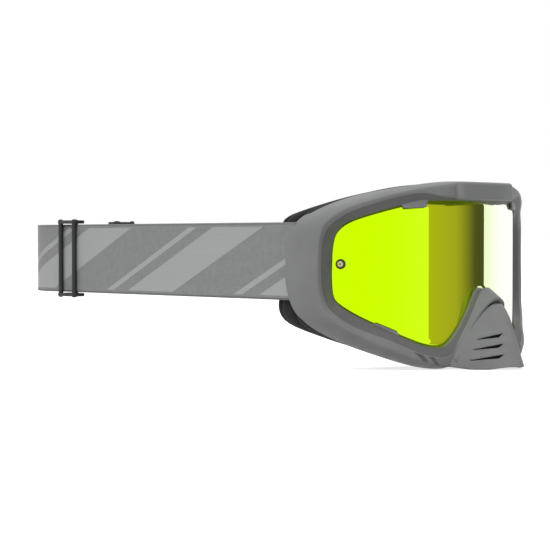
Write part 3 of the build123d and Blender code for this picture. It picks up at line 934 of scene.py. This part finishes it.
def slider_place(which):
    """Origin, direction along the strap and direction to the middle bar, in plan."""
    if which == "left":
        return Vector((LEFT_SLIDER_X, inner_y)), Vector((1, 0)), Vector((0, 1))
    along = Vector((-math.sin(LEAN), -math.cos(LEAN)))
    return side_point(-1, RIGHT_SLIDER_Y), along, Vector((math.cos(LEAN), -math.sin(LEAN)))


def fold_path(which, start):
    """From the strap's layer over the middle bar, round it and back."""
    origin, along, out = slider_place(which)
    over, under = BAR_OFFSET + FOLD_RADIUS, BAR_OFFSET - FOLD_RADIUS

    def local(u, v):
        return origin + along * u + out * v

    points = []
    steps = 10
    for k in range(steps + 1):
        s = k / steps
        ease = s * s * (3 - 2 * s)
        points.append(local(start * (1 - s) - SLIDER_ROOM * s, LAYER_PITCH + (over - LAYER_PITCH) * ease))
    points += [local(-7, over), local(-3, over)]
    points += [local(FOLD_RADIUS * math.sin(a), BAR_OFFSET + FOLD_RADIUS * math.cos(a))
               for a in (math.pi * k / 12 for k in range(13))]
    points += [local(-4, under), local(-8.5, under)]
    return points


starts = {"left": right_end_x - LEFT_SLIDER_X, "right": -(left_end_y - RIGHT_SLIDER_Y) / math.cos(LEAN)}
straps = {"right": ribbon("webbing_right", right_path), "left": ribbon("webbing_left", left_path)}
for hand, sign in (("left", 1), ("right", -1)):
    piece = straps[hand]
    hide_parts(f"strap_anchor_{hand}", f"strap_side_{hand}", f"strap_rear_{hand}")
    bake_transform(piece)

for which, hand, path in (("left", "right", right_path), ("right", "left", left_path)):
    origin, along, out = slider_place(which)
    tail = ribbon(f"webbing_tail_{hand}", fold_path(which, starts[which]), path_length(path))
    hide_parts(f"strap_ramp_{hand}", f"strap_loop_{hand}")
    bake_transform(tail)
    # box stitch through the fold
    stitches = []
    for u in STITCH_ROWS:
        for k in range(STITCH_COUNT):
            z = STRAP_MIDDLE + (k - (STITCH_COUNT - 1) / 2) * STITCH_PITCH
            middle = origin + along * u + out * (BAR_OFFSET + FOLD_RADIUS + STRAP_THICKNESS * 0.42)
            foot = at(middle.x, middle.y, z)
            stitches.append(lathe("stitch", foot, Vector((0, 0, 1)),
                                  [(0.05, -0.95), (0.28, -0.7), (0.32, 0), (0.28, 0.7), (0.05, 0.95)],
                                  thread, 8))
    seam = join(f"stitching_{hand}", stitches)
    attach(seam, f"{which}_slider")


# ---------------------------------------------------------------- tri-glide sliders
def rail_outline(origin, along, out, length, low, high, radius):
    """Rounded rectangle in plan, as points."""
    corners = [(length / 2, high), (-length / 2, high), (-length / 2, low), (length / 2, low)]
    centres = [(cx - math.copysign(radius, cx), cy - (radius if cy == high else -radius))
               for cx, cy in corners]
    points = []
    for index, (cx, cy) in enumerate(centres):
        for k in range(6):
            a = math.pi / 2 * (index + k / 5)
            points.append(origin + along * (cx + radius * math.cos(a)) + out * (cy + radius * math.sin(a)))
    return points


def build_slider(which):
    origin, along, out = slider_place(which)
    parts = []
    top = STRAP_MIDDLE + STRAP_WIDTH / 2 + RAIL_CLEARANCE
    bottom = STRAP_MIDDLE - STRAP_WIDTH / 2 - RAIL_CLEARANCE - RAIL_HEIGHT
    plan_points = rail_outline(origin, along, out, RAIL_LENGTH, -OUTER_BAR_OFFSET - BAR_RADIUS,
                               BAR_OFFSET + BAR_RADIUS, RAIL_CORNER)
    for z in (bottom, top):
        corners = [at(p.x, p.y, z) for p in plan_points]
        height = Vector((0, 0, RAIL_HEIGHT * MM))
        parts.append(prism("rail", corners, height, slider_plastic, RAIL_BEVEL * MM))
    for u, v in ((0, BAR_OFFSET), (-BAR_PITCH, -OUTER_BAR_OFFSET), (BAR_PITCH, -OUTER_BAR_OFFSET)):
        foot = origin + along * u + out * v
        height = top - bottom + RAIL_HEIGHT
        profile = [(0.3, -0.7), (1.3, -0.4), (1.9, 0.3), (1.9, 1.8), (1.6, 2.4), (1.52, height / 2),
                   (1.6, height - 2.4),
                   (1.9, height - 1.8), (1.9, height - 0.3), (1.3, height + 0.4), (0.3, height + 0.7)]
        parts.append(lathe("bar", at(foot.x, foot.y, bottom), Vector((0, 0, 1)), profile, slider_plastic, 20))
    slider = join(f"tri_glide_{which}", parts)
    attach(slider, f"{which}_slider")
    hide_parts(f"{which}_slider")


for which in ("left", "right"):
    build_slider(which)


# ---------------------------------------------------------------- silicone grip lines
BEAD_START_X, BEAD_LENGTH = -34.5, 32.0
BEAD_LEVELS = (-12, -4, 4, 12)
BEAD_WAVE = 1.6
BEAD_POINTS = 70


def build_beads():
    beads = []
    section = [(-0.8, 0.1), (-0.55, -0.35), (0.0, -0.55), (0.55, -0.35), (0.8, 0.1)]
    for level in BEAD_LEVELS:
        points = []
        for i in range(BEAD_POINTS + 1):
            x = BEAD_START_X + BEAD_LENGTH * i / BEAD_POINTS
            z = STRAP_MIDDLE + level + BEAD_WAVE * math.sin(x * 0.55)
            fade = min(1.0, 4.0 * min(i, BEAD_POINTS - i) / BEAD_POINTS + 0.15)
            for across, depth in section:
                points.append(at(x, inner_y - STRAP_THICKNESS * 0.4 + depth * fade, z + across * fade))
        beads.append(mesh_object("bead", points, tube_faces(BEAD_POINTS + 1, len(section)), silicone))
    return join("silicone_lines", beads)


beads = build_beads()
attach(beads, "strap_rear")
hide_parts("grip_beads")

# ---------------------------------------------------------------- stage, light and camera
CAMERA_AZIMUTH = math.radians(-52.4)
CAMERA_DISTANCE = 1.02
LENS_MM = 114.0
FLAG_ANGLES = (2.4, 56.4)    # degrees from straight ahead, towards the wearer's left
FLAG_DISTANCE = 2.6
FLAG_HEIGHT = 2.5
FLOOR_GLOW = 0.74            # keeps the floor white around the shadow
AIM_RIGHT, AIM_UP = -0.1181, -0.0206   # from the lens to the middle of the goggles


def make_floor():
    """Pale floor that keeps the object's shadow and reads as white elsewhere."""
    size = 40.0
    material = bpy.data.materials.new("floor_paint")
    material.use_nodes = True
    tree = material.node_tree
    tree.nodes.remove(tree.nodes["Principled BSDF"])
    diffuse = node(tree, "ShaderNodeBsdfDiffuse")
    diffuse.inputs["Color"].default_value = (0.62, 0.62, 0.62, 1)
    glow = node(tree, "ShaderNodeEmission")
    glow.inputs["Color"].default_value = (1, 1, 1, 1)
    path = node(tree, "ShaderNodeLightPath")
    strength = node(tree, "ShaderNodeMath", operation="MULTIPLY")
    tree.links.new(path.outputs["Is Camera Ray"], strength.inputs[0])
    strength.inputs[1].default_value = FLOOR_GLOW
    tree.links.new(strength.outputs[0], glow.inputs["Strength"])
    both = node(tree, "ShaderNodeAddShader")
    tree.links.new(diffuse.outputs[0], both.inputs[0])
    tree.links.new(glow.outputs[0], both.inputs[1])
    tree.links.new(both.outputs[0], tree.nodes["Material Output"].inputs["Surface"])
    corners = [Vector((x, y, 0)) for x, y in ((-size, -size), (size, -size), (size, size), (-size, size))]
    floor = mesh_object("floor", corners, [(0, 1, 2, 3)], material)
    floor.visible_glossy = False


def make_world():
    world = bpy.data.worlds.new("studio")
    bpy.context.scene.world = world
    world.use_nodes = True
    tree = world.node_tree
    background = tree.nodes["Background"]
    background.inputs["Color"].default_value = (1, 1, 1, 1)
    path = node(tree, "ShaderNodeLightPath")
    seen = node(tree, "ShaderNodeMath", operation="MAXIMUM")
    tree.links.new(path.outputs["Is Camera Ray"], seen.inputs[0])
    tree.links.new(path.outputs["Is Glossy Ray"], seen.inputs[1])
    also = node(tree, "ShaderNodeMath", operation="MAXIMUM")
    tree.links.new(seen.outputs[0], also.inputs[0])
    tree.links.new(path.outputs["Is Transmission Ray"], also.inputs[1])
    level = node(tree, "ShaderNodeMapRange")
    level.inputs["To Min"].default_value = 0.55
    level.inputs["To Max"].default_value = 1.0
    tree.links.new(also.outputs[0], level.inputs["Value"])
    tree.links.new(level.outputs["Result"], background.inputs["Strength"])


def make_flag():
    """Dark studio flag that only reflections see, between two directions."""
    columns = 24
    low_angle, high_angle = (math.radians(a) for a in FLAG_ANGLES)
    points = []
    for i in range(columns + 1):
        a = low_angle + (high_angle - low_angle) * i / columns
        foot = DATUM + Vector((math.sin(a), -math.cos(a), 0)) * FLAG_DISTANCE
        points += [Vector((foot.x, foot.y, -FLAG_HEIGHT)), Vector((foot.x, foot.y, FLAG_HEIGHT))]
    faces = [(2 * i, 2 * i + 2, 2 * i + 3, 2 * i + 1) for i in range(columns)]
    material = bpy.data.materials.new("flag_cloth")
    material.use_nodes = True
    tree = material.node_tree
    tree.nodes.remove(tree.nodes["Principled BSDF"])
    flag = mesh_object("flag", points, faces, material)
    layer = flag.data.uv_layers.new(name="UVMap")
    for loop in flag.data.loops:
        layer.data[loop.index].uv = ((loop.vertex_index // 2) / columns, loop.vertex_index % 2)
    uv = node(tree, "ShaderNodeUVMap", uv_map="UVMap")
    split = node(tree, "ShaderNodeSeparateXYZ")
    tree.links.new(uv.outputs["UV"], split.inputs["Vector"])
    shade = ramp(tree, split.outputs["X"], [(0.0, (0.62, 0.47, 0.5)), (0.45, (0.50, 0.38, 0.5)),
                                              (0.80, (0.10, 0.085, 0.3)), (1.0, (0.08, 0.07, 0.05))])
    glow = node(tree, "ShaderNodeEmission")
    tree.links.new(shade, glow.inputs["Color"])
    tree.links.new(glow.outputs[0], tree.nodes["Material Output"].inputs["Surface"])
    flag.visible_camera = False
    flag.visible_diffuse = False
    flag.visible_shadow = False
    flag.visible_transmission = False


def make_light(name, place, target, size, power):
    data = bpy.data.lights.new(name, "AREA")
    data.shape = "DISK"
    data.size = size
    data.energy = power
    light = bpy.data.objects.new(name, data)
    bpy.context.scene.collection.objects.link(light)
    light.location = place
    light.rotation_euler = (Vector(target) - Vector(place)).to_track_quat("-Z", "Y").to_euler()
    light.visible_glossy = False


def make_camera():
    toward = Vector((math.sin(CAMERA_AZIMUTH), -math.cos(CAMERA_AZIMUTH), 0))
    right = Vector((math.cos(CAMERA_AZIMUTH), math.sin(CAMERA_AZIMUTH), 0))
    data = bpy.data.cameras.new("camera")
    data.lens = LENS_MM
    camera = bpy.data.objects.new("camera", data)
    bpy.context.scene.collection.objects.link(camera)
    camera.location = DATUM + toward * CAMERA_DISTANCE
    middle = -toward + right * AIM_RIGHT + Vector((0, 0, AIM_UP))
    camera.rotation_euler = middle.to_track_quat("-Z", "Y").to_euler()
    bpy.context.scene.camera = camera


make_floor()
make_world()
make_flag()
make_light("key", (-1.6, -0.7, 1.7), (0, 0, 0.05), 1.4, 26)
make_light("top", (0.4, 0.2, 2.2), (0, 0.1, 0.05), 1.6, 22)
make_camera()
bpy.context.scene.view_settings.view_transform = "Standard"
